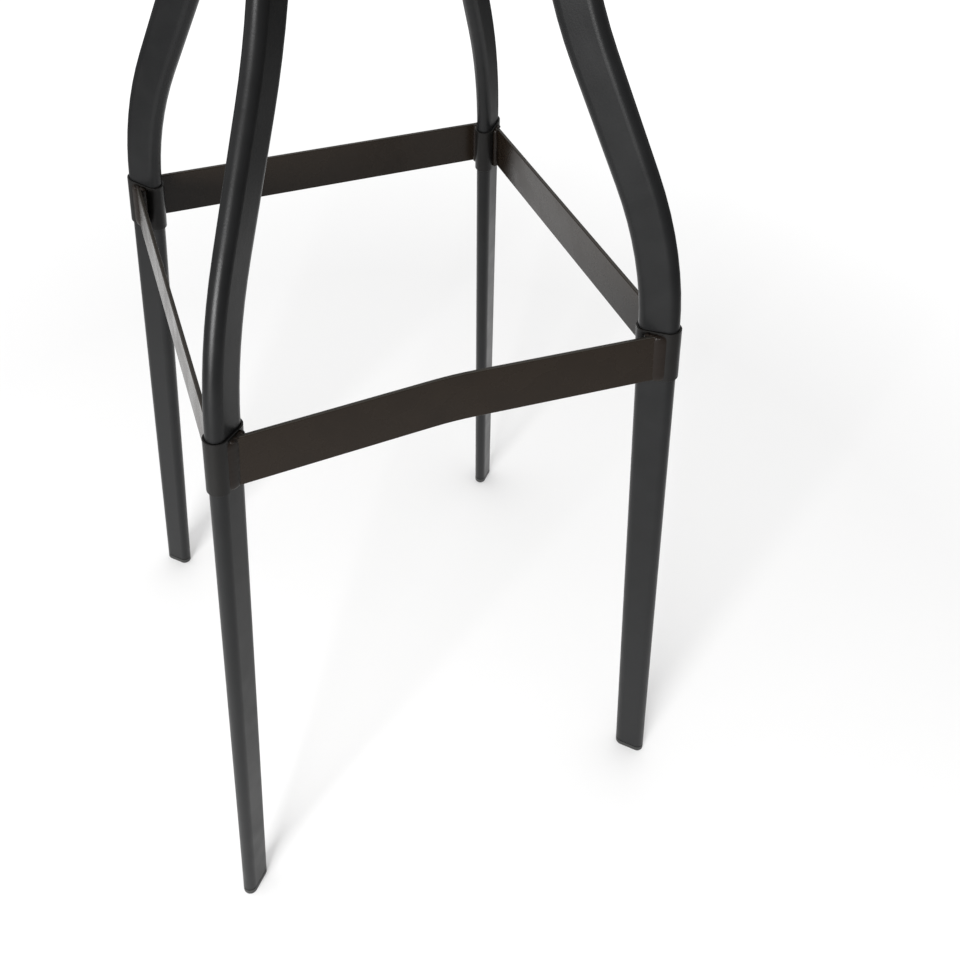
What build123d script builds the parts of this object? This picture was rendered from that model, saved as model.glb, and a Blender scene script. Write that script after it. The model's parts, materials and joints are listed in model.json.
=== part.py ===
from build123d import *
import math
import os

# Bar stool with a footrest: four bent flat-oval tube legs, a flat-bar footrest and a turning seat.
# Millimetres. +Z is up, the floor is z = 0, the stool's axis is the Z axis and its front faces -Y.

# Legs
tube_width = 24.0  # long side of the flat-oval section, set radially
tube_depth = 11.0
tube_wall = 1.5
foot_radius = 240.0  # stool axis to leg centre line at the floor
leg_lean = 7.5  # degrees inward, below the bends
lower_bend_gap = 18.0  # from the footrest's mid-height to where the lower bend starts
lower_bend_radius = 255.0
lower_bend_angle = 21.0
slope_length = 66.0  # straight run between the two bends
upper_bend_radius = 260.0
leg_top_length = 12.0  # upright run above the upper bend

# Footrest
footrest_height = 440.0  # floor to the middle of the bars
bar_height = 32.0
bar_thickness = 2.5
bar_edge = 0.6  # rounding of the bars' long edges
bar_offset = 5.7  # how far the bars lie outside the lines between the leg centres
front_bow = 7.5  # how far the middle of the front bar is set in
front_bow_radius = 220.0
collar_height = 35.5
collar_wall = 1.0
collar_gap = 0.3  # all round, between the tube and its collar
collar_top_edge = 0.3  # bevels round the outside of a collar's ends
collar_bottom_edge = 0.7
bead_radius = 2.4  # weld beads at the bar ends

# Feet
cap_thickness = 7.0  # floor to the tube's end
cap_edge = 1.2  # rounding of the cap's lower edge
cap_neck_height = 1.2  # shadow gap under the tube's end
cap_neck_depth = 0.7  # how far the shadow gap is set in
plug_length = 20.0
plug_gap = 0.15

# Crown and swivel
crown_thickness = 5.0
crown_margin = 3.0  # plate outside the tube ends
crown_corner = 18.0
crown_bead = 3.0  # leg of the weld fillets under the crown plate
spindle_diameter = 20.0
spindle_fit = 0.05  # radial running clearance in the bushes
bush_wall = 2.5
bush_length = 18.0
bush_flange_diameter = 38.0
bush_flange_thickness = 3.0
press_gap = 0.02  # radial, between pieces pressed or welded together
housing_wall = 5.0
housing_drop = 42.0  # below the crown plate
housing_rise = 8.0  # above the crown plate
thrust_thickness = 2.0
axial_play = 0.1
washer_gap = 0.2  # radial, between the spindle and its washers
hub_diameter = 60.0
hub_thickness = 6.0
keeper_thickness = 2.0
keeper_diameter = 34.0
keeper_play = 0.3
clip_thickness = 1.6
clip_depth = 1.0  # how deep the clip's groove is cut into the spindle
clip_rim = 3.2  # how far the clip stands out of the spindle
clip_mouth = 10.0  # width of the clip's opening
clip_gap = 0.1
spindle_tail = 6.0  # below the clip

# Seat
seat_plate_diameter = 190.0
seat_plate_thickness = 4.0
seat_diameter = 340.0
seat_thickness = 32.0
seat_dish = 5.0  # how deep the seat is hollowed
seat_rim = 26.0  # from the seat's edge to the hollow
seat_top_round = 10.0
seat_bottom_round = 6.0
screw_circle_diameter = 150.0
screw_count = 4
screw_diameter = 5.0
screw_length = 24.0  # under the head
screw_head_diameter = 10.0
screw_head_height = 3.2
screw_key = 3.0  # across the flats of the hexagon socket
screw_key_depth = 1.8
screw_gap = 0.1  # radial, in the plate and in the seat

# Heights and radii that follow
lean = math.radians(leg_lean)
bar_lean = math.degrees(math.atan(math.tan(lean) / math.sqrt(2)))  # the bars' faces follow the legs' lean
lower_bend_height = footrest_height + lower_bend_gap
floor_dip = 2 * tube_width  # the tube is drawn from below the floor and cut level


def leg_radius(height):
    """Distance of a leg's centre line from the stool's axis, on the straight run below the bends."""
    return foot_radius - height * math.tan(lean)


def leg_path():
    """Centre line of a leg in the XZ plane."""
    with BuildLine(Plane.XZ) as line:
        shin = Line((leg_radius(-floor_dip), -floor_dip), (leg_radius(lower_bend_height), lower_bend_height))
        lower = JernArc(shin @ 1, shin % 1, lower_bend_radius, lower_bend_angle)
        run = PolarLine(lower @ 1, slope_length, direction=lower % 1)
        upper = JernArc(run @ 1, run % 1, upper_bend_radius, -leg_lean - lower_bend_angle)
        PolarLine(upper @ 1, leg_top_length, direction=upper % 1)
    return line.wire()


path = leg_path()
leg_end = path @ 1
crown_radius = leg_end.X
crown_bottom = leg_end.Z
crown_top = crown_bottom + crown_thickness
footrest_radius = leg_radius(footrest_height)
leg_angles = {"front_left": 225, "front_right": 315, "back_right": 45, "back_left": 135}


def slot(width, depth, grow=0.0):
    """Flat-oval outline, larger all round by grow."""
    return SlotOverall(width + 2 * grow, depth + 2 * grow)


def leg_plane(height):
    """Plane square to a leg at a height below the bends, with X outward along the tube's long side."""
    return Plane(
        origin=(leg_radius(height), 0, height),
        x_dir=(math.cos(lean), 0, math.sin(lean)),
        z_dir=(-math.sin(lean), 0, math.cos(lean)),
    )


def disc(diameter, thickness, bottom, bore=0.0):
    """Round plate about the stool's axis, standing on the height bottom."""
    plate = Cylinder(diameter / 2, thickness, align=(Align.CENTER, Align.CENTER, Align.MIN))
    if bore:
        plate -= Cylinder(bore / 2, thickness, align=(Align.CENTER, Align.CENTER, Align.MIN))
    return Pos(0, 0, bottom) * plate


# Leg, cut level on its foot cap
def make_leg():
    start = leg_plane(-floor_dip)
    outside = sweep(start * slot(tube_width, tube_depth), path=path)
    inside = sweep(start * slot(tube_width, tube_depth, -tube_wall), path=path)
    return split(outside - inside, bisect_by=Plane.XY.offset(cap_thickness), keep=Keep.TOP)


# Foot cap: a shoe flush with the tube, a set-in neck and a plug up the tube
def cap_slice(bottom, top, grow=0.0):
    """Level slice of the foot, leaning with the leg, between two heights."""
    outline = Pos(leg_radius(bottom), 0, bottom) * slot(tube_width / math.cos(lean), tube_depth, grow)
    return extrude(outline, amount=(top - bottom) / math.cos(lean), dir=leg_plane(0).z_dir)


def make_foot_cap():
    shoe_top = cap_thickness - cap_neck_height
    shoe = cap_slice(0, shoe_top)
    shoe = fillet(shoe.faces().sort_by(Axis.Z)[0].edges(), cap_edge)
    neck = cap_slice(shoe_top, cap_thickness, -cap_neck_depth)
    plug = leg_plane(cap_thickness / 2) * slot(tube_width, tube_depth, -tube_wall - plug_gap)
    return shoe + neck + extrude(plug, amount=plug_length)


# Footrest collar, a sleeve round the leg
def collar_block():
    outline = leg_plane(footrest_height) * slot(tube_width, tube_depth, collar_gap + collar_wall)
    return extrude(outline, amount=collar_height / 2, both=True)


def make_collar():
    collar = collar_block()
    collar = chamfer(collar.faces().sort_by(Axis.Z)[0].edges(), collar_bottom_edge)
    collar = chamfer(collar.faces().sort_by(Axis.Z)[-1].edges(), collar_top_edge)
    bore = leg_plane(footrest_height) * slot(tube_width, tube_depth, collar_gap)
    return collar - extrude(bore, amount=collar_height / 2, both=True)


# Footrest bars, each from one leg's centre line to the next and cut off at the collars
def leg_centre(name):
    angle = math.radians(leg_angles[name])
    return Vector(footrest_radius * math.cos(angle), footrest_radius * math.sin(angle), footrest_height)


def bar_points(first, second, bow):
    """A bar's end points, inside the collars, and between them the point its middle bends towards."""
    inward = (leg_centre(second) - leg_centre(first)).rotate(Axis.Z, 90).normalized()
    start = leg_centre(first) - inward * bar_offset
    end = leg_centre(second) - inward * bar_offset
    return start, (start + end) * 0.5 + inward * bow, end


def make_bar(first, second, bow):
    start, middle, end = bar_points(first, second, bow)
    line = FilletPolyline(start, middle, end, radius=front_bow_radius) if bow else Line(start, end)
    heading = line % 0
    section = Plane(origin=start, x_dir=heading.rotate(Axis.Z, 90), z_dir=heading)
    outline = Rot(0, 0, -bar_lean) * RectangleRounded(bar_thickness, bar_height, bar_edge)
    bar = sweep(section * outline, path=line)
    for name in (first, second):
        bar -= Rot(0, 0, leg_angles[name]) * collar_block()
    return bar


def make_beads(bar, first, second, bow):
    """Weld beads in the two corners that a bar makes with the flat of each collar."""
    start, middle, end = bar_points(first, second, bow)
    flat = tube_depth / 2 + collar_gap + collar_wall
    tilt = math.radians(bar_lean)
    beads = []
    for name, corner, turn in ((first, start, 90), (second, end, -90)):
        along = (middle - corner).normalized()
        inward = along.rotate(Axis.Z, turn)
        bar_up = Vector(0, 0, math.cos(tilt)) + inward * math.sin(tilt)
        across = Vector(0, 1, 0).rotate(Axis.Z, leg_angles[name])
        across = across if across.dot(along) > 0 else across * -1
        seam = along.cross(bar_up).cross(across)
        for offset in (inward * (bar_thickness / 2), inward * (-bar_thickness / 2)):
            begin = corner + offset
            reach = (flat - (begin - leg_centre(name)).dot(across)) / along.dot(across)
            place = begin + along * reach
            bead = Plane(origin=place, z_dir=seam) * Cylinder(bead_radius, bar_height - 2 * bar_edge)
            beads.append(bead - bar - Rot(0, 0, leg_angles[name]) * collar_block())
    return beads


# Crown plate on the leg tops, with the swivel housing through its middle
housing_bore = spindle_diameter + 2 * (spindle_fit + bush_wall + press_gap)
housing_diameter = housing_bore + 2 * housing_wall
housing_bottom = crown_bottom - housing_drop
housing_top = crown_top + housing_rise


def make_crown_plate():
    reach = crown_radius + tube_width / 2 + crown_margin
    side = 2 * ((reach - crown_corner) / math.sqrt(2) + crown_corner)
    plate = extrude(RectangleRounded(side, side, crown_corner), amount=crown_thickness)
    hole = disc(housing_diameter + 2 * press_gap, crown_thickness, 0)
    return Pos(0, 0, crown_bottom) * (plate - hole)


def make_crown_welds():
    """Fillets under the crown plate round the four tube ends and round the housing."""
    foot = Pos(crown_radius, 0, crown_bottom) * slot(tube_width, tube_depth, crown_bead)
    fillet_block = extrude(foot, amount=-crown_bead, taper=45)
    tube_end = Pos(crown_radius, 0, crown_bottom) * slot(tube_width, tube_depth)
    ring = fillet_block - extrude(tube_end, amount=-2 * crown_bead)
    rings = [Rot(0, 0, angle) * ring for angle in leg_angles.values()]
    cone = Cone(housing_diameter / 2, housing_diameter / 2 + crown_bead, crown_bead)
    cone -= Cylinder(housing_diameter / 2, crown_bead)
    return rings + [Pos(0, 0, crown_bottom - crown_bead / 2) * cone]


def make_housing():
    return disc(housing_diameter, housing_top - housing_bottom, housing_bottom, housing_bore)


# Bushes, with their flanges on the ends of the housing
def make_bush():
    """Flanged bush standing up, with the underside of its flange at z = 0."""
    bore = spindle_diameter + 2 * spindle_fit
    sleeve = disc(bore + 2 * bush_wall, bush_length, -bush_length, bore)
    return sleeve + disc(bush_flange_diameter, bush_flange_thickness, 0, bore)


# Turning pieces, stacked up from the upper bush
thrust_bottom = housing_top + bush_flange_thickness
hub_bottom = thrust_bottom + thrust_thickness + axial_play
seat_plate_bottom = hub_bottom + hub_thickness
seat_bottom = seat_plate_bottom + seat_plate_thickness
keeper_top = housing_bottom - bush_flange_thickness - keeper_play
clip_top = keeper_top - keeper_thickness
clip_bottom = clip_top - clip_thickness


def make_spindle():
    bottom = clip_bottom - spindle_tail
    shaft = disc(spindle_diameter, seat_plate_bottom - bottom, bottom)
    groove_floor = spindle_diameter - 2 * clip_depth
    groove = disc(2 * spindle_diameter, clip_thickness, clip_bottom, groove_floor)
    return shaft + disc(hub_diameter, hub_thickness, hub_bottom) - groove


def make_clip():
    bore = spindle_diameter - 2 * clip_depth + 2 * clip_gap
    ring = disc(spindle_diameter + 2 * clip_rim, clip_thickness, clip_bottom, bore)
    mouth = Box(spindle_diameter, clip_mouth, clip_thickness, align=(Align.MIN, Align.CENTER, Align.MIN))
    return ring - Pos(0, 0, clip_bottom) * mouth


def screw_places():
    """Seat screw axes, halfway between the legs."""
    return PolarLocations(screw_circle_diameter / 2, screw_count)


def make_seat_plate():
    plate = disc(seat_plate_diameter, seat_plate_thickness, seat_plate_bottom)
    hole = disc(screw_diameter + 2 * screw_gap, seat_plate_thickness, seat_plate_bottom)
    for place in screw_places():
        plate -= place * hole
    return plate


def make_seat():
    radius = seat_diameter / 2
    top = seat_bottom + seat_thickness
    hollow = radius - seat_rim
    sphere = (hollow**2 + seat_dish**2) / (2 * seat_dish)
    half = hollow / 2
    half_height = top - seat_dish + sphere - math.sqrt(sphere**2 - half**2)
    with BuildSketch(Plane.XZ) as outline:
        with BuildLine():
            Line((0, top - seat_dish), (0, seat_bottom))
            Line((0, seat_bottom), (radius - seat_bottom_round, seat_bottom))
            JernArc((radius - seat_bottom_round, seat_bottom), (1, 0), seat_bottom_round, 90)
            Line((radius, seat_bottom + seat_bottom_round), (radius, top - seat_top_round))
            JernArc((radius, top - seat_top_round), (0, 1), seat_top_round, 90)
            Line((radius - seat_top_round, top), (hollow, top))
            ThreePointArc((hollow, top), (half, half_height), (0, top - seat_dish))
        make_face()
    seat = revolve(outline.sketch, Axis.Z)
    depth = screw_length - seat_plate_thickness + screw_gap
    hole = disc(screw_diameter + 2 * screw_gap, depth, seat_bottom)
    for place in screw_places():
        seat -= place * hole
    return seat


def make_seat_screws():
    shank = disc(screw_diameter, screw_length, seat_plate_bottom)
    shank = chamfer(shank.edges().sort_by(Axis.Z)[-1], screw_diameter / 4)
    head = disc(screw_head_diameter, screw_head_height, seat_plate_bottom - screw_head_height)
    head = fillet(head.edges().sort_by(Axis.Z)[0], screw_head_height / 2)
    socket = extrude(RegularPolygon(screw_key / math.sqrt(3), 6), amount=screw_key_depth)
    screw = shank + head - Pos(0, 0, seat_plate_bottom - screw_head_height) * socket
    return [place * screw for place in screw_places()]


# All pieces by name
pieces = {}
for name, angle in leg_angles.items():
    turn = Rot(0, 0, angle)
    pieces[name + "_leg"] = turn * make_leg()
    pieces[name + "_foot_cap"] = turn * make_foot_cap()
    pieces[name + "_footrest_collar"] = turn * make_collar()

bars = {
    "front": ("front_left", "front_right", front_bow),
    "right": ("front_right", "back_right", 0),
    "back": ("back_right", "back_left", 0),
    "left": ("back_left", "front_left", 0),
}
beads = []
for name, ends in bars.items():
    bar = make_bar(*ends)
    pieces[name + "_footrest_bar"] = bar
    beads += make_beads(bar, *ends)
pieces["footrest_welds"] = Compound(beads)

pieces["crown_plate"] = make_crown_plate()
pieces["crown_welds"] = Compound(make_crown_welds())
pieces["swivel_housing"] = make_housing()
pieces["upper_bush"] = Pos(0, 0, housing_top) * make_bush()
pieces["lower_bush"] = Pos(0, 0, housing_bottom) * Rot(180, 0, 0) * make_bush()
washer_bore = spindle_diameter + 2 * washer_gap
pieces["thrust_washer"] = disc(bush_flange_diameter, thrust_thickness, thrust_bottom, washer_bore)
pieces["spindle"] = make_spindle()
pieces["keeper_washer"] = disc(keeper_diameter, keeper_thickness, clip_top, washer_bore)
pieces["retaining_clip"] = make_clip()
pieces["seat_plate"] = make_seat_plate()
pieces["seat"] = make_seat()
pieces["seat_screws"] = Compound(make_seat_screws())

os.makedirs("parts", exist_ok=True)
for name, shape in pieces.items():
    export_step(shape, f"parts/{name}.step")
print("footrest radius", footrest_radius, "crown radius", crown_radius, "crown bottom", crown_bottom)
print("seat top", seat_bottom + seat_thickness)
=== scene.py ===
"""Finishes a bar stool with a footrest: coat, welds, feet, swivel, wooden seat and a photo stage."""

import json
import math

import bpy
from bpy.props import FloatProperty, FloatVectorProperty, IntProperty, PointerProperty
from mathutils import Matrix, Vector


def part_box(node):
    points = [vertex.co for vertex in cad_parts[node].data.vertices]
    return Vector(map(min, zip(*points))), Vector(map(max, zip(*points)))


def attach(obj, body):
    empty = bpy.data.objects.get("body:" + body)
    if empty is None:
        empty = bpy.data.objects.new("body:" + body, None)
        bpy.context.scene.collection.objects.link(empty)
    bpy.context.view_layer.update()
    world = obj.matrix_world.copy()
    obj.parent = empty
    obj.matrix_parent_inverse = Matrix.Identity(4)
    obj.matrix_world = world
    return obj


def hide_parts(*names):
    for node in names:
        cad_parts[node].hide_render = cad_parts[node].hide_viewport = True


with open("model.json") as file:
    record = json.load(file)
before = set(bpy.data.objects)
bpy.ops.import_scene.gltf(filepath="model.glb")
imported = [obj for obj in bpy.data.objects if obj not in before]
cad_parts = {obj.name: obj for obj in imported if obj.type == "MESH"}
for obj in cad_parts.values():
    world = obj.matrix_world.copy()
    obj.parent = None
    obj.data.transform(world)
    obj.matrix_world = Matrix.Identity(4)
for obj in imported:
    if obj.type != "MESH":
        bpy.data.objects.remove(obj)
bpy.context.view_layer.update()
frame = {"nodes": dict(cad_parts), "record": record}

bl_info = {
    "name": "Bar stool with footrest",
    "version": (1, 0, 0),
    "blender": (4, 5, 0),
    "location": "View3D > Sidebar > Bar Stool",
    "description": "Finishes the packed bar stool and sets it on a pale floor",
    "category": "Object",
}

# Leg directions round the stool, in degrees, and the two legs that each footrest bar joins
LEG_ANGLES = {"front_left": 225, "front_right": 315, "back_right": 45, "back_left": 135}
BAR_LEGS = {
    "front": ("front_left", "front_right"),
    "right": ("front_right", "back_right"),
    "back": ("back_right", "back_left"),
    "left": ("back_left", "front_left"),
}


def colour_property(name, description, default):
    return FloatVectorProperty(
        name=name, description=description, default=default, subtype="COLOR", min=0.0, max=1.0
    )


def length_property(name, description, default):
    return FloatProperty(name=name, description=description, default=default, unit="LENGTH", precision=4)


def angle_property(name, description, degrees):
    return FloatProperty(name=name, description=description, default=math.radians(degrees), subtype="ANGLE")


def share_property(name, description, default):
    return FloatProperty(
        name=name, description=description, default=default, subtype="FACTOR", min=0.0, max=1.0
    )


def number_property(name, description, default):
    return FloatProperty(name=name, description=description, default=default)


class StoolCoat(bpy.types.PropertyGroup):
    """Black powder coat of the steel frame."""

    leg_colour: colour_property("Leg colour", "Coat on legs, crown and seat plate", (0.0088, 0.009, 0.0093))
    bar_colour: colour_property("Bar colour", "Coat on the bars, a little warmer", (0.0125, 0.0088, 0.006))
    # Painted highlight: a lighter colour on the bars' upward faces, standing in for light on their tops
    top_highlight_colour: colour_property("Top highlight colour", "Lighter coat on top of the bars", (0.04, 0.036, 0.031))
    # Painted shade: the collars take a darker copy of the legs' coat, standing in for the shade at the
    # joints
    collar_shaded_colour: colour_property("Collar shaded colour", "Darker coat on the collars", (0.0074, 0.007, 0.0066))
    weld_colour: colour_property("Weld colour", "Browner coat over the weld beads", (0.0092, 0.0064, 0.0048))
    roughness: share_property("Roughness", "Satin of the coat", 0.36)
    bar_roughness: share_property("Bar roughness", "Satin of the coat on the rolled bars", 0.27)
    index: number_property("Index", "Refractive index of the coat", 1.26)
    grain_size: length_property("Grain size", "Size of the coat's fine grain", 0.0011)
    patch_size: length_property("Patch size", "Size of the faint patches in the coat", 0.018)


class StoolWelds(bpy.types.PropertyGroup):
    """Weld beads between the footrest bars and the collars."""

    collar_half_depth: length_property("Collar half depth", "Leg centre to the flat of a collar", 0.0068)
    leg_lean: angle_property("Leg lean", "Lean of the legs at the footrest", 7.5)
    bead_length: length_property("Bead length", "Height of a bead", 0.0336)
    face_width: length_property("Face bead width", "Width of the flat bead on a bar's outer face", 0.0105)
    face_rise: length_property("Face bead rise", "How far the flat bead stands out of its corner", 0.0018)
    back_reach: length_property("Back bead reach", "How far the bead behind a bar fills its corner", 0.0058)
    knob_size: length_property("Knob size", "Radius of the run-outs on top of a bar end", 0.0019)
    ripples: IntProperty(name="Ripples", description="Number of ripples along a bead", default=9, min=3)


class StoolSeat(bpy.types.PropertyGroup):
    """Wooden seat."""

    light_wood: colour_property("Light wood", "Early wood between the rings", (0.5, 0.3, 0.145))
    dark_wood: colour_property("Dark wood", "Late wood in the rings", (0.31, 0.16, 0.068))
    pore_colour: colour_property("Pores", "Open pores along the grain", (0.13, 0.062, 0.026))
    stave_width: length_property("Stave width", "Width of each glued stave", 0.062)
    ring_width: length_property("Ring width", "One year's growth", 0.0042)
    roughness: share_property("Roughness", "Satin of the oiled wood", 0.46)


class StoolFittings(bpy.types.PropertyGroup):
    """Feet, bushes and bright steel."""

    foot_colour: colour_property("Foot plastic", "Moulded caps under the legs", (0.013, 0.0132, 0.0125))
    bush_colour: colour_property("Bush plastic", "Swivel bushes", (0.74, 0.72, 0.66))
    steel_colour: colour_property("Steel", "Plated spindle, washers and screws", (0.56, 0.56, 0.57))
    foot_roughness: share_property("Foot roughness", "Satin of the caps", 0.5)
    bush_roughness: share_property("Bush roughness", "Satin of the bushes", 0.45)
    steel_roughness: share_property("Steel roughness", "Satin of the plating", 0.33)


class StoolStage(bpy.types.PropertyGroup):
    """Camera, floor and light."""

    frame_width: number_property("Frame width", "Width of the camera's frame in millimetres", 36.0)
    lens: number_property("Lens", "Focal length in millimetres", 36.04)
    shift_x: number_property("Shift X", "Sideways framing of the photo", 0.049)
    shift_y: number_property("Shift Y", "Upright framing of the photo", -0.0708)
    azimuth: angle_property("Azimuth", "Camera round the stool from its front", -21.9)
    elevation: angle_property("Elevation", "Camera above the floor plane", 44.4)
    roll: angle_property("Roll", "Turn of the picture", 1.8)
    target: FloatVectorProperty(
        name="Target",
        description="Point that the camera looks at, before the shift",
        default=(0.0389, 0.0, 0.2989),
        subtype="XYZ",
    )
    distance: length_property("Distance", "Camera to its target", 0.7282)
    far_limit: length_property("Far limit", "How far the camera sees", 50.0)
    floor_size: length_property("Floor size", "Side of the floor", 14.0)
    paper_colour: colour_property("Paper colour", "White paper under the stool", (0.75, 0.75, 0.75))
    room_colour: colour_property("Room floor colour", "Dim room beyond the paper", (0.13, 0.13, 0.13))
    paper_radius: length_property("Paper radius", "Where the paper starts to give way to the room", 0.6)
    room_radius: length_property("Room radius", "Where the dim room has taken over", 1.3)
    glow: number_property("Glow", "Lift of the paper where the camera sees it", 0.11)
    # Painted reflection: a glow of the paper that only glossy rays see, growing towards the back right
    back_reflection_glow: number_property("Back reflection glow", "Lift of the bright paper at the back right, seen in gloss", 0.8)
    back_heading: FloatVectorProperty(
        name="Back heading",
        description="Direction in which the paper grows brighter",
        default=(0.6, 0.8, 0.0),
        subtype="XYZ",
    )
    back_reach: length_property("Back reach", "From the stool's axis to the full back glow", 0.5)
    front_sky: number_property("Front sky", "Soft light from the front", 0.22)
    back_sky: number_property("Back sky", "Soft light from the back", 0.72)
    top_sky: number_property("Top sky", "Soft light added overhead", 0.75)
    key_power: FloatProperty(
        name="Key power", description="Soft window light at the front left", default=80.0, unit="POWER"
    )
    key_width: length_property("Key width", "Width of the soft light", 0.95)
    key_height: length_property("Key height", "Height of the soft light", 0.6)
    key_aim: length_property("Key aim", "Height of the footrest, where the soft light is aimed", 0.44)
    key_distance: length_property("Key distance", "Light to the footrest", 2.2)
    key_azimuth: angle_property("Key azimuth", "Light round the stool from its right side", 225)
    key_elevation: angle_property("Key elevation", "Light above the footrest", 6)


# Upward part of a surface's direction over which the painted top highlight grows lighter
TOP_RANGE = (0.5, 0.95)

# Beads: points round a bead, and sizes of the rings at its rounded ends, as shares of its full size
BEAD_POINTS = 14
BEAD_ENDS = (0.62, 0.88)

# Unevenness of the welds, as shares of their size
FACE_UNEVENNESS = 0.03
BACK_UNEVENNESS = 0.16
KNOB_UNEVENNESS = 0.16

# The bead behind a bar, in shares of its reach: half its width, half its rise, and how far out it lies
BACK_HALF_WIDTH = 0.4
BACK_HALF_RISE = 0.36
BACK_PLACE = 0.64

# Run-outs of weld along the top of a bar end: shares of the way from its inner to its outer face, and sizes
KNOB_PLACES = (-0.25, 0.45, 1.2)
KNOB_SIZES = (0.8, 1.0, 0.85)

# A run-out's stretch along X, Y and Z, and, in shares of its size, how far it sinks in and lies along
KNOB_STRETCH = (1.4, 1.0, 0.65)
KNOB_SINK = 0.3
KNOB_LEAD = 0.5

# How near to a collar's flat a bar's end points lie, in metres
END_TOLERANCE = 0.0003

# Middle of a noise pattern's range, from 0 to 1, where nearly all of it lies
NOISE_LOW = 0.3
NOISE_HIGH = 0.7

# Staves: how far apart they lie in the trunk, along the grain, across it and upwards, and how that place
# is moved to count from the trunk's pith, which runs below the seat, in metres
STAVE_SPREAD = (2.0, 0.11, 0.05)
PITH_OFFSET = (0.0, -0.055, 0.02)

# Wood's figure is drawn out along the grain: shares of its size across the grain, for rings and for fibres
RING_STRETCH = 0.35
FIBRE_STRETCH = 0.03

# Scale of a ring pattern with rings 1 m apart, and how unevenly the rings run
RING_SCALE = 0.314
RING_WANDER = 7.0
RING_WANDER_SCALE = 0.15

# Late wood: how sharply it ends each ring, and how it is broken up by streaks, which leave at least a share
LATE_SHARPNESS = 1.6
STREAK_SCALE = 420.0
STREAK_RANGE = (0.25, 0.75)
STREAK_SHARE = 0.45

# Pores and glued seams: the parts of a noise pattern and of a stave's width that they take, and strengths
PORE_SCALE = 1500.0
PORE_RANGE = (0.62, 0.72)
PORE_STRENGTH = 0.75
SEAM_RANGE = (0.494, 0.498)
SEAM_STRENGTH = 0.8

# How far a stave may be tinted as a whole, and how early and late wood depart from the mean roughness
STAVE_TINT = 0.35
EARLY_ROUGHER = 0.06
LATE_SMOOTHER = 0.05

# The range of the sky's Y, from front to back, over which the front's light gives way to the back's
SKY_TURN = (-0.7, 0.5)

# Places of the colours among the sockets of a Mix node
MIX_COLOURS = (6, 7)
MIX_RESULT = 2


# Small helpers for node trees
def new_node(tree, kind, **settings):
    node = tree.nodes.new(kind)
    for key, value in settings.items():
        setattr(node, key, value)
    return node


def link(tree, source, target):
    tree.links.new(source, target)


def maths(tree, operation, first, second):
    """A Math node whose inputs are sockets or plain numbers."""
    node = new_node(tree, "ShaderNodeMath", operation=operation)
    for socket, value in zip(node.inputs, (first, second)):
        if isinstance(value, (int, float)):
            socket.default_value = value
        else:
            link(tree, value, socket)
    return node.outputs[0]


def blend_colours(tree, factor, first, second):
    """A colour between two colours, each a socket or plain RGB."""
    node = new_node(tree, "ShaderNodeMix", data_type="RGBA")
    link(tree, factor, node.inputs["Factor"])
    for place, value in zip(MIX_COLOURS, (first, second)):
        socket = node.inputs[place]
        if isinstance(value, bpy.types.NodeSocket):
            link(tree, value, socket)
        else:
            socket.default_value = (*value, 1.0)
    return node.outputs[MIX_RESULT]


def ranged(tree, value, low, high, low_out, high_out):
    node = new_node(tree, "ShaderNodeMapRange")
    link(tree, value, node.inputs["Value"])
    for name, number in (("From Min", low), ("From Max", high), ("To Min", low_out), ("To Max", high_out)):
        node.inputs[name].default_value = number
    return node.outputs[0]


def noise(tree, vector, scale, detail):
    node = new_node(tree, "ShaderNodeTexNoise")
    link(tree, vector, node.inputs["Vector"])
    if isinstance(scale, (int, float)):
        node.inputs["Scale"].default_value = scale
    else:
        link(tree, scale, node.inputs["Scale"])
    node.inputs["Detail"].default_value = detail
    return node.outputs["Fac"]


def fine_grain_group():
    """Shared effect: a fine surface grain and broad faint patches, both from 0 to 1."""
    found = bpy.data.node_groups.get("Fine grain")
    if found:
        return found
    group = bpy.data.node_groups.new("Fine grain", "ShaderNodeTree")
    for name in ("Grain Size", "Patch Size"):
        group.interface.new_socket(name, in_out="INPUT", socket_type="NodeSocketFloat")
    for name in ("Grain", "Patches"):
        group.interface.new_socket(name, in_out="OUTPUT", socket_type="NodeSocketFloat")
    start = new_node(group, "NodeGroupInput")
    end = new_node(group, "NodeGroupOutput")
    place = new_node(group, "ShaderNodeTexCoord").outputs["Object"]
    grain = noise(group, place, maths(group, "DIVIDE", 1.0, start.outputs["Grain Size"]), detail=2.0)
    patches = noise(group, place, maths(group, "DIVIDE", 1.0, start.outputs["Patch Size"]), detail=4.0)
    link(group, grain, end.inputs["Grain"])
    link(group, patches, end.inputs["Patches"])
    return group


def new_material(name):
    """A material with its Principled shader and its tree."""
    material = bpy.data.materials.new(name)
    material.use_nodes = True
    return material, material.node_tree, material.node_tree.nodes["Principled BSDF"]


def add_grain(tree, grain_size, patch_size):
    node = new_node(tree, "ShaderNodeGroup", node_tree=fine_grain_group())
    node.inputs["Grain Size"].default_value = grain_size
    node.inputs["Patch Size"].default_value = patch_size
    return node.outputs["Grain"], node.outputs["Patches"]


def add_bump(tree, shader, height, strength, distance):
    bump = new_node(tree, "ShaderNodeBump")
    bump.inputs["Strength"].default_value = strength
    bump.inputs["Distance"].default_value = distance
    link(tree, height, bump.inputs["Height"])
    link(tree, bump.outputs["Normal"], shader.inputs["Normal"])


def shade(colour, factor):
    return tuple(channel * factor for channel in colour)


def vary_colour(tree, shader, pattern, colour, dark, light):
    """A base colour between a darker and a lighter shade of one colour."""
    tone = blend_colours(tree, pattern, shade(colour, dark), shade(colour, light))
    link(tree, tone, shader.inputs["Base Color"])


def vary_gloss(tree, shader, pattern, roughness, spread):
    """A roughness that strays to either side of its mean."""
    gloss = ranged(tree, pattern, NOISE_LOW, NOISE_HIGH, roughness - spread, roughness + spread)
    link(tree, gloss, shader.inputs["Roughness"])


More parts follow.
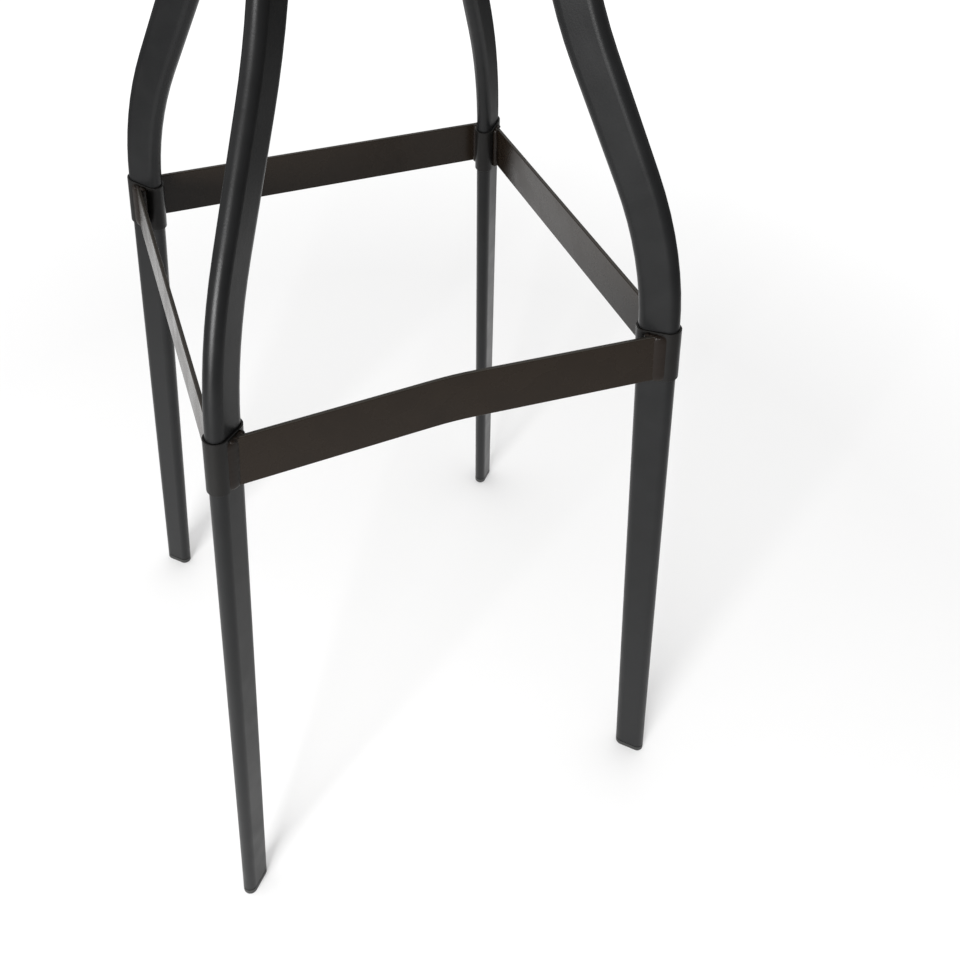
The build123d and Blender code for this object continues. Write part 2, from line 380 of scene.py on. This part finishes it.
def coat_material(name, colour, roughness, settings):
    """Satin powder coat: faint patches in its colour and gloss, and a fine grain."""
    material, tree, shader = new_material(name)
    grain, patches = add_grain(tree, settings.grain_size, settings.patch_size)
    vary_colour(tree, shader, patches, colour, dark=0.8, light=1.2)
    vary_gloss(tree, shader, patches, roughness, spread=0.04)
    shader.inputs["IOR"].default_value = settings.index
    add_bump(tree, shader, grain, strength=0.18, distance=0.0002)
    return material


def paint_top_highlight(material, colour):
    """Lightens a coat where its surface faces up: a painted highlight."""
    tree = material.node_tree
    coat = tree.nodes["Principled BSDF"].inputs["Base Color"]
    parts = new_node(tree, "ShaderNodeSeparateXYZ")
    link(tree, new_node(tree, "ShaderNodeTexCoord").outputs["Normal"], parts.inputs[0])
    top = ranged(tree, parts.outputs["Z"], *TOP_RANGE, 0.0, 1.0)
    link(tree, blend_colours(tree, top, coat.links[0].from_socket, colour), coat)


def moulded_material(name, colour, roughness):
    """Moulded plastic with a fine spark-eroded grain."""
    material, tree, shader = new_material(name)
    grain, patches = add_grain(tree, grain_size=0.0007, patch_size=0.01)
    vary_colour(tree, shader, patches, colour, dark=0.9, light=1.1)
    vary_gloss(tree, shader, grain, roughness, spread=0.05)
    add_bump(tree, shader, grain, strength=0.2, distance=0.0001)
    return material


def plated_material(name, colour, roughness):
    """Zinc-plated steel with a fine grain and cloudy plating."""
    material, tree, shader = new_material(name)
    grain, patches = add_grain(tree, grain_size=0.0009, patch_size=0.006)
    vary_colour(tree, shader, patches, colour, dark=0.88, light=1.08)
    vary_gloss(tree, shader, patches, roughness, spread=0.07)
    shader.inputs["Metallic"].default_value = 1.0
    add_bump(tree, shader, grain, strength=0.08, distance=0.0001)
    return material


def wood_material(name, settings, low):
    """Staves glued side by side along X, each cut from its own place in a trunk, above a lowest height."""
    material, tree, shader = new_material(name)
    parts = new_node(tree, "ShaderNodeSeparateXYZ")
    link(tree, new_node(tree, "ShaderNodeTexCoord").outputs["Object"], parts.inputs[0])
    stave = maths(tree, "DIVIDE", parts.outputs["Y"], settings.stave_width)
    number = maths(tree, "FLOOR", stave, 0.0)
    across = maths(tree, "SUBTRACT", maths(tree, "SUBTRACT", stave, number), 0.5)
    chance = new_node(tree, "ShaderNodeTexWhiteNoise", noise_dimensions="1D")
    link(tree, number, chance.inputs["W"])
    place = new_node(tree, "ShaderNodeCombineXYZ")
    link(tree, parts.outputs["X"], place.inputs["X"])
    link(tree, maths(tree, "MULTIPLY", across, settings.stave_width), place.inputs["Y"])
    link(tree, maths(tree, "SUBTRACT", parts.outputs["Z"], low), place.inputs["Z"])
    cut = new_node(tree, "ShaderNodeVectorMath", operation="MULTIPLY_ADD")
    link(tree, chance.outputs["Color"], cut.inputs[0])
    cut.inputs[1].default_value = STAVE_SPREAD
    link(tree, place.outputs[0], cut.inputs[2])
    trunk = new_node(tree, "ShaderNodeMapping")
    trunk.inputs["Location"].default_value = PITH_OFFSET
    trunk.inputs["Scale"].default_value = (RING_STRETCH, 1.0, 1.0)
    link(tree, cut.outputs[0], trunk.inputs["Vector"])
    rings = new_node(tree, "ShaderNodeTexWave", wave_type="RINGS", rings_direction="X", wave_profile="SAW")
    rings.inputs["Scale"].default_value = RING_SCALE / settings.ring_width
    rings.inputs["Distortion"].default_value = RING_WANDER
    rings.inputs["Detail"].default_value = 2.0
    rings.inputs["Detail Scale"].default_value = RING_WANDER_SCALE
    link(tree, trunk.outputs[0], rings.inputs["Vector"])
    fibres = new_node(tree, "ShaderNodeMapping")
    fibres.inputs["Scale"].default_value = (FIBRE_STRETCH, 1.0, 1.0)
    link(tree, cut.outputs[0], fibres.inputs["Vector"])
    streaks = noise(tree, fibres.outputs[0], STREAK_SCALE, detail=3.0)
    specks = noise(tree, fibres.outputs[0], PORE_SCALE, detail=1.0)
    pores = ranged(tree, specks, *PORE_RANGE, 0.0, PORE_STRENGTH)
    late = maths(tree, "POWER", rings.outputs["Fac"], LATE_SHARPNESS)
    figure = maths(tree, "MULTIPLY", late, ranged(tree, streaks, *STREAK_RANGE, STREAK_SHARE, 1.0))
    wood = blend_colours(tree, figure, settings.light_wood, settings.dark_wood)
    tint = ranged(tree, chance.outputs["Value"], 0.0, 1.0, 0.0, STAVE_TINT)
    toned = blend_colours(tree, tint, wood, settings.dark_wood)
    seam = ranged(tree, maths(tree, "ABSOLUTE", across, 0.0), *SEAM_RANGE, 0.0, SEAM_STRENGTH)
    marks = maths(tree, "MAXIMUM", pores, seam)
    link(tree, blend_colours(tree, marks, toned, settings.pore_colour), shader.inputs["Base Color"])
    early_gloss = settings.roughness + EARLY_ROUGHER
    late_gloss = settings.roughness - LATE_SMOOTHER
    link(tree, ranged(tree, figure, 0.0, 1.0, early_gloss, late_gloss), shader.inputs["Roughness"])
    height = maths(tree, "SUBTRACT", streaks, marks)
    add_bump(tree, shader, height, strength=0.18, distance=0.0003)
    return material


def nodes_of(slot):
    """CAD objects whose finish is a slot of the record."""
    parts = frame["record"]["subparts"]
    return [frame["nodes"][part["node"]] for part in parts if part["material_slot"] == slot]


def paint(obj, material):
    if not obj.material_slots:
        obj.data.materials.append(material)
    for place in obj.material_slots:
        place.material = material


def flat(angle):
    """Unit vector in the floor plane at an angle in degrees."""
    return Vector((math.cos(math.radians(angle)), math.sin(math.radians(angle)), 0.0))


# Weld beads
def start_piece(add, **size):
    """Adds a primitive with nothing else selected and opens it in edit mode."""
    bpy.ops.object.select_all(action="DESELECT")
    add(**size)
    piece = bpy.context.object
    bpy.ops.object.mode_set(mode="EDIT")
    bpy.ops.mesh.select_mode(type="VERT")
    return piece


def select_points(piece, test):
    """In edit mode, selects the points whose place passes the test."""
    bpy.ops.mesh.select_all(action="DESELECT")
    bpy.ops.object.mode_set(mode="OBJECT")
    for point in piece.data.vertices:
        point.select = test(point.co)
    bpy.ops.object.mode_set(mode="EDIT")


def finish_piece(piece, levels):
    """Leaves edit mode, rounds the shape and shades it smooth."""
    bpy.ops.object.mode_set(mode="OBJECT")
    smooth = piece.modifiers.new("Round", "SUBSURF")
    smooth.levels = levels
    smooth.render_levels = levels
    bpy.ops.object.modifier_apply(modifier=smooth.name)
    bpy.ops.object.shade_smooth()
    return piece


def model_bead(half_width, half_rise, length, ripples, unevenness, seed):
    """An upright rippled bead about the origin, wide along X and rising along Y."""
    bead = start_piece(bpy.ops.mesh.primitive_cylinder_add, vertices=BEAD_POINTS, radius=1.0, depth=length)
    select_points(bead, lambda co: True)
    bpy.ops.transform.resize(value=(half_width, half_rise, 1.0), center_override=(0, 0, 0))
    bpy.ops.mesh.select_all(action="DESELECT")
    bpy.ops.mesh.select_mode(type="EDGE")
    bpy.ops.object.mode_set(mode="OBJECT")
    points = bead.data.vertices
    for edge in bead.data.edges:
        first, second = (points[i].co for i in edge.vertices)
        edge.select = abs(first.z - second.z) > length / 2
    bpy.ops.object.mode_set(mode="EDIT")
    rings = 2 * ripples
    bpy.ops.mesh.subdivide(number_cuts=rings - 1)
    bpy.ops.mesh.select_mode(type="VERT")
    step = length / rings
    for ring in range(rings + 1):
        height = -length / 2 + ring * step
        select_points(bead, lambda co: abs(co.z - height) < step / 4)
        size = 1.0 + unevenness if ring % 2 else 1.0 - unevenness
        from_end = min(ring, rings - ring)
        if from_end < len(BEAD_ENDS):
            size *= BEAD_ENDS[from_end]
        bpy.ops.transform.resize(value=(size, size, 1.0), center_override=(0, 0, height))
    select_points(bead, lambda co: True)
    bpy.ops.transform.vertex_random(offset=unevenness * half_rise, seed=seed)
    return finish_piece(bead, levels=1)


def model_knob(radius, seed):
    """A small uneven run-out of weld metal."""
    knob = start_piece(bpy.ops.mesh.primitive_ico_sphere_add, subdivisions=2, radius=radius)
    select_points(knob, lambda co: True)
    bpy.ops.transform.resize(value=KNOB_STRETCH, center_override=(0, 0, 0))
    bpy.ops.transform.vertex_random(offset=KNOB_UNEVENNESS * radius, seed=seed)
    return finish_piece(knob, levels=1)


def leg_up(leg, lean):
    """Direction of a leg's straight run, which leans towards the stool's axis."""
    return flat(LEG_ANGLES[leg]) * -math.sin(lean) + Vector((0.0, 0.0, math.cos(lean)))


def put(piece, place, heading, up):
    """Turns a finished piece, so that its X faces heading and its Z points up, and moves it."""
    turn = Matrix.Rotation(math.atan2(heading.y, heading.x), 4, "Z")
    tilt = Vector((0.0, 0.0, 1.0)).rotation_difference(up).to_matrix().to_4x4()
    piece.data.transform(Matrix.Translation(place) @ tilt @ turn)


def bar_end(bar, leg, half_depth, up):
    """Where a bar's outer and inner face meet the flat of a collar, at mid-height, and the bar's heading."""
    low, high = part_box(leg + "_footrest_collar")
    centre = (low + high) / 2
    radial = flat(LEG_ANGLES[leg])
    points = [point.co for point in frame["nodes"][bar + "_footrest_bar"].data.vertices]
    middle = sum(points, Vector()) / len(points)
    across = Vector((-radial.y, radial.x, 0.0))
    if across.dot(middle - centre) < 0:
        across = -across
    ends = []
    for point in points:
        if abs((point - centre).dot(across) - half_depth) < END_TOLERANCE:
            ends.append(point - up * ((point.z - middle.z) / up.z))
    if not ends:
        raise RuntimeError("no end of the " + bar + " bar was found on the " + leg + " collar")
    ends.sort(key=lambda place: (place - centre).dot(radial))
    inner, outer = ends[0], ends[-1]
    return outer, inner, (middle - (inner + outer) / 2).normalized()


def join_pieces(pieces, name):
    """Joins finished pieces into one object."""
    bpy.ops.object.select_all(action="DESELECT")
    for piece in pieces:
        piece.select_set(True)
    bpy.context.view_layer.objects.active = pieces[0]
    bpy.ops.object.join()
    pieces[0].name = name
    return pieces[0]


class STOOL_OT_coat_frame(bpy.types.Operator):
    """Coat the legs, crown and seat plate, the collars darker as painted shade, and the warmer footrest bars
    with a painted highlight on their tops
    """

    bl_idname = "stool.coat_frame"
    bl_label = "Coat frame"

    def execute(self, context):
        settings = context.scene.stool_coat
        leg_coat = coat_material("Leg coat", settings.leg_colour, settings.roughness, settings)
        bar_coat = coat_material("Bar coat", settings.bar_colour, settings.bar_roughness, settings)
        # Painted highlight on the upward faces of the bars
        paint_top_highlight(bar_coat, settings.top_highlight_colour)
        # Darker copy of the coat for the collars, painted shade at the joints
        shaded_collar_coat = coat_material("Shaded collar coat", settings.collar_shaded_colour, settings.roughness, settings)
        weld_coat = coat_material("Weld coat", settings.weld_colour, settings.roughness, settings)
        for node in nodes_of("frame_coat"):
            paint(node, leg_coat)
        for leg in LEG_ANGLES:
            paint(frame["nodes"][leg + "_footrest_collar"], shaded_collar_coat)
        for bar in BAR_LEGS:
            paint(frame["nodes"][bar + "_footrest_bar"], bar_coat)
        paint(frame["nodes"]["crown_welds"], weld_coat)
        return {"FINISHED"}


class STOOL_OT_weld_footrest(bpy.types.Operator):
    """Lay rippled weld beads in the corners between the footrest bars and the collars"""

    bl_idname = "stool.weld_footrest"
    bl_label = "Weld footrest"

    def execute(self, context):
        settings = context.scene.stool_welds
        beads = []
        for bar, legs in BAR_LEGS.items():
            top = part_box(bar + "_footrest_bar")[1].z
            for leg in legs:
                seed = len(beads)
                up = leg_up(leg, settings.leg_lean)
                outer, inner, heading = bar_end(bar, leg, settings.collar_half_depth, up)
                chord = (heading - flat(LEG_ANGLES[leg])).normalized()
                length = settings.bead_length
                ripples = settings.ripples
                half_width = settings.face_width / 2
                face = model_bead(half_width, settings.face_rise, length, ripples, FACE_UNEVENNESS, seed)
                put(face, outer, chord, up)
                reach = settings.back_reach
                half_width = reach * BACK_HALF_WIDTH
                half_rise = reach * BACK_HALF_RISE
                back = model_bead(half_width, half_rise, length, ripples, BACK_UNEVENNESS, seed + 1)
                put(back, inner + chord * reach * BACK_PLACE, Vector((-chord.y, chord.x, 0.0)), up)
                beads += [face, back]
                size = settings.knob_size
                rise = up * ((top - outer.z - size * KNOB_SINK) / up.z)
                for number, share in enumerate(KNOB_PLACES):
                    knob = model_knob(size * KNOB_SIZES[number], seed + number)
                    place = inner.lerp(outer, share) + heading * size * KNOB_LEAD + rise
                    put(knob, place, heading, up)
                    beads.append(knob)
        piece = join_pieces(beads, "footrest_weld_beads")
        paint(piece, bpy.data.materials["Weld coat"])
        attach(piece, "base")
        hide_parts("footrest_welds")
        return {"FINISHED"}


class STOOL_OT_finish_fittings(bpy.types.Operator):
    """Give the foot caps, bushes and bright steel their finishes"""

    bl_idname = "stool.finish_fittings"
    bl_label = "Finish feet and swivel"

    def execute(self, context):
        settings = context.scene.stool_fittings
        finishes = {
            "foot_plastic": moulded_material("Foot plastic", settings.foot_colour, settings.foot_roughness),
            "bush_plastic": moulded_material("Bush plastic", settings.bush_colour, settings.bush_roughness),
            "steel": plated_material("Plated steel", settings.steel_colour, settings.steel_roughness),
        }
        for slot, material in finishes.items():
            for node in nodes_of(slot):
                paint(node, material)
        return {"FINISHED"}


class STOOL_OT_finish_seat(bpy.types.Operator):
    """Give the seat its oiled wood"""

    bl_idname = "stool.finish_seat"
    bl_label = "Finish seat"

    def execute(self, context):
        wood = wood_material("Oiled wood", context.scene.stool_seat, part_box("seat")[0].z)
        for node in nodes_of("seat_wood"):
            paint(node, wood)
        return {"FINISHED"}


def floor_material(settings):
    """White paper that keeps shadows and looks white all the way, in a dim room, with a painted reflection:
    a glow seen only in gloss that grows towards the back right.
    """
    material = bpy.data.materials.new("White floor")
    material.use_nodes = True
    tree = material.node_tree
    tree.nodes.clear()
    place = new_node(tree, "ShaderNodeTexCoord").outputs["Object"]
    radius = new_node(tree, "ShaderNodeVectorMath", operation="LENGTH")
    link(tree, place, radius.inputs[0])
    far = ranged(tree, radius.outputs["Value"], settings.paper_radius, settings.room_radius, 0.0, 1.0)
    matt = new_node(tree, "ShaderNodeBsdfDiffuse")
    link(tree, blend_colours(tree, far, settings.paper_colour, settings.room_colour), matt.inputs["Color"])
    path = new_node(tree, "ShaderNodeLightPath")
    seen = ranged(tree, far, 0.0, 1.0, settings.glow, 1.0)
    lift = maths(tree, "MULTIPLY", path.outputs["Is Camera Ray"], seen)
    # Painted reflection: a glow seen only in gloss, growing towards the back right and gone in the dim room
    across = new_node(tree, "ShaderNodeVectorMath", operation="DOT_PRODUCT")
    link(tree, place, across.inputs[0])
    across.inputs[1].default_value = settings.back_heading
    gloss_glow = ranged(tree, across.outputs["Value"], 0.0, settings.back_reach, 0.0, settings.back_reflection_glow)
    gloss_glow = maths(tree, "MULTIPLY", gloss_glow, maths(tree, "SUBTRACT", 1.0, far))
    mirrored = maths(tree, "MULTIPLY", path.outputs["Is Glossy Ray"], gloss_glow)
    glow = new_node(tree, "ShaderNodeEmission")
    link(tree, maths(tree, "ADD", lift, mirrored), glow.inputs["Strength"])
    both = new_node(tree, "ShaderNodeAddShader")
    link(tree, matt.outputs[0], both.inputs[0])
    link(tree, glow.outputs[0], both.inputs[1])
    end = new_node(tree, "ShaderNodeOutputMaterial")
    link(tree, both.outputs[0], end.inputs["Surface"])
    return material


def set_world(settings):
    """Soft light, stronger from the back than from the front, behind a plain white backdrop."""
    world = bpy.data.worlds.new("White studio")
    world.use_nodes = True
    tree = world.node_tree
    tree.nodes.clear()
    parts = new_node(tree, "ShaderNodeSeparateXYZ")
    link(tree, new_node(tree, "ShaderNodeTexCoord").outputs["Generated"], parts.inputs[0])
    light = new_node(tree, "ShaderNodeBackground")
    light.inputs["Color"].default_value = (1.0, 1.0, 1.0, 1.0)
    sky = ranged(tree, parts.outputs["Y"], *SKY_TURN, settings.front_sky, settings.back_sky)
    rise = ranged(tree, parts.outputs["Z"], 0.0, 1.0, 0.0, 1.0)
    overhead = maths(tree, "MULTIPLY", maths(tree, "MULTIPLY", rise, rise), settings.top_sky)
    link(tree, maths(tree, "ADD", sky, overhead), light.inputs["Strength"])
    white = new_node(tree, "ShaderNodeBackground")
    white.inputs["Color"].default_value = (1.0, 1.0, 1.0, 1.0)
    path = new_node(tree, "ShaderNodeLightPath")
    mix = new_node(tree, "ShaderNodeMixShader")
    link(tree, path.outputs["Is Camera Ray"], mix.inputs[0])
    link(tree, light.outputs[0], mix.inputs[1])
    link(tree, white.outputs[0], mix.inputs[2])
    end = new_node(tree, "ShaderNodeOutputWorld")
    link(tree, mix.outputs[0], end.inputs["Surface"])
    bpy.context.scene.world = world


def direction(azimuth, elevation):
    """Unit vector from the azimuth round Z, counted from +X, and the elevation."""
    return Vector(
        (
            math.cos(azimuth) * math.cos(elevation),
            math.sin(azimuth) * math.cos(elevation),
            math.sin(elevation),
        )
    )


def set_camera(settings):
    """Camera that looks at its target from the photo's angle."""
    back = direction(settings.azimuth - math.pi / 2, settings.elevation)
    right = direction(settings.azimuth, 0.0)
    up = back.cross(right)
    turn = Matrix.Rotation(settings.roll, 3, back)
    right = turn @ right
    up = turn @ up
    camera = bpy.data.objects.new("Photo camera", bpy.data.cameras.new("Photo camera"))
    camera.data.sensor_width = settings.frame_width
    camera.data.lens = settings.lens
    camera.data.shift_x = settings.shift_x
    camera.data.shift_y = settings.shift_y
    camera.data.clip_end = settings.far_limit
    axes = Matrix((right, up, back)).transposed().to_4x4()
    camera.matrix_world = Matrix.Translation(Vector(settings.target) + back * settings.distance) @ axes
    bpy.context.scene.collection.objects.link(camera)
    bpy.context.scene.camera = camera


def add_key_light(settings):
    """Broad soft light, aimed at the footrest."""
    lamp = bpy.data.objects.new("Key light", bpy.data.lights.new("Key light", "AREA"))
    lamp.data.energy = settings.key_power
    lamp.data.shape = "RECTANGLE"
    lamp.data.size = settings.key_width
    lamp.data.size_y = settings.key_height
    aim = direction(settings.key_azimuth, settings.key_elevation)
    turn = aim.to_track_quat("Z", "Y").to_matrix().to_4x4()
    place = Vector((0.0, 0.0, settings.key_aim)) + aim * settings.key_distance
    lamp.matrix_world = Matrix.Translation(place) @ turn
    bpy.context.scene.collection.objects.link(lamp)


class STOOL_OT_set_stage(bpy.types.Operator):
    """Set the white floor, the soft light and the camera"""

    bl_idname = "stool.set_stage"
    bl_label = "Set stage"

    def execute(self, context):
        settings = context.scene.stool_stage
        bpy.ops.object.select_all(action="DESELECT")
        bpy.ops.mesh.primitive_plane_add(size=settings.floor_size)
        floor = context.object
        floor.name = "floor"
        paint(floor, floor_material(settings))
        set_world(settings)
        add_key_light(settings)
        set_camera(settings)
        context.scene.view_settings.view_transform = "Standard"
        return {"FINISHED"}


class STOOL_PT_sidebar(bpy.types.Panel):
    """Steps and settings of the stool's finish"""

    bl_label = "Bar stool"
    bl_idname = "STOOL_PT_sidebar"
    bl_space_type = "VIEW_3D"
    bl_region_type = "UI"
    bl_category = "Bar Stool"

    def draw(self, context):
        for operator, group in STEPS:
            self.layout.operator(operator.bl_idname)
            settings = getattr(context.scene, group)
            box = self.layout.box()
            for name in settings.__annotations__:
                box.prop(settings, name)


GROUPS = {
    "stool_coat": StoolCoat,
    "stool_welds": StoolWelds,
    "stool_fittings": StoolFittings,
    "stool_seat": StoolSeat,
    "stool_stage": StoolStage,
}
STEPS = (
    (STOOL_OT_coat_frame, "stool_coat"),
    (STOOL_OT_weld_footrest, "stool_welds"),
    (STOOL_OT_finish_fittings, "stool_fittings"),
    (STOOL_OT_finish_seat, "stool_seat"),
    (STOOL_OT_set_stage, "stool_stage"),
)


def register():
    for name, group in GROUPS.items():
        bpy.utils.register_class(group)
        setattr(bpy.types.Scene, name, PointerProperty(type=group))
    for operator, _ in STEPS:
        bpy.utils.register_class(operator)
    bpy.utils.register_class(STOOL_PT_sidebar)


def unregister():
    bpy.utils.unregister_class(STOOL_PT_sidebar)
    for operator, _ in STEPS:
        bpy.utils.unregister_class(operator)
    for name, group in GROUPS.items():
        delattr(bpy.types.Scene, name)
        bpy.utils.unregister_class(group)


def main():
    register()
    bpy.ops.stool.coat_frame()
    bpy.ops.stool.weld_footrest()
    bpy.ops.stool.finish_fittings()
    bpy.ops.stool.finish_seat()
    bpy.ops.stool.set_stage()


if __name__ == "__main__":
    main()
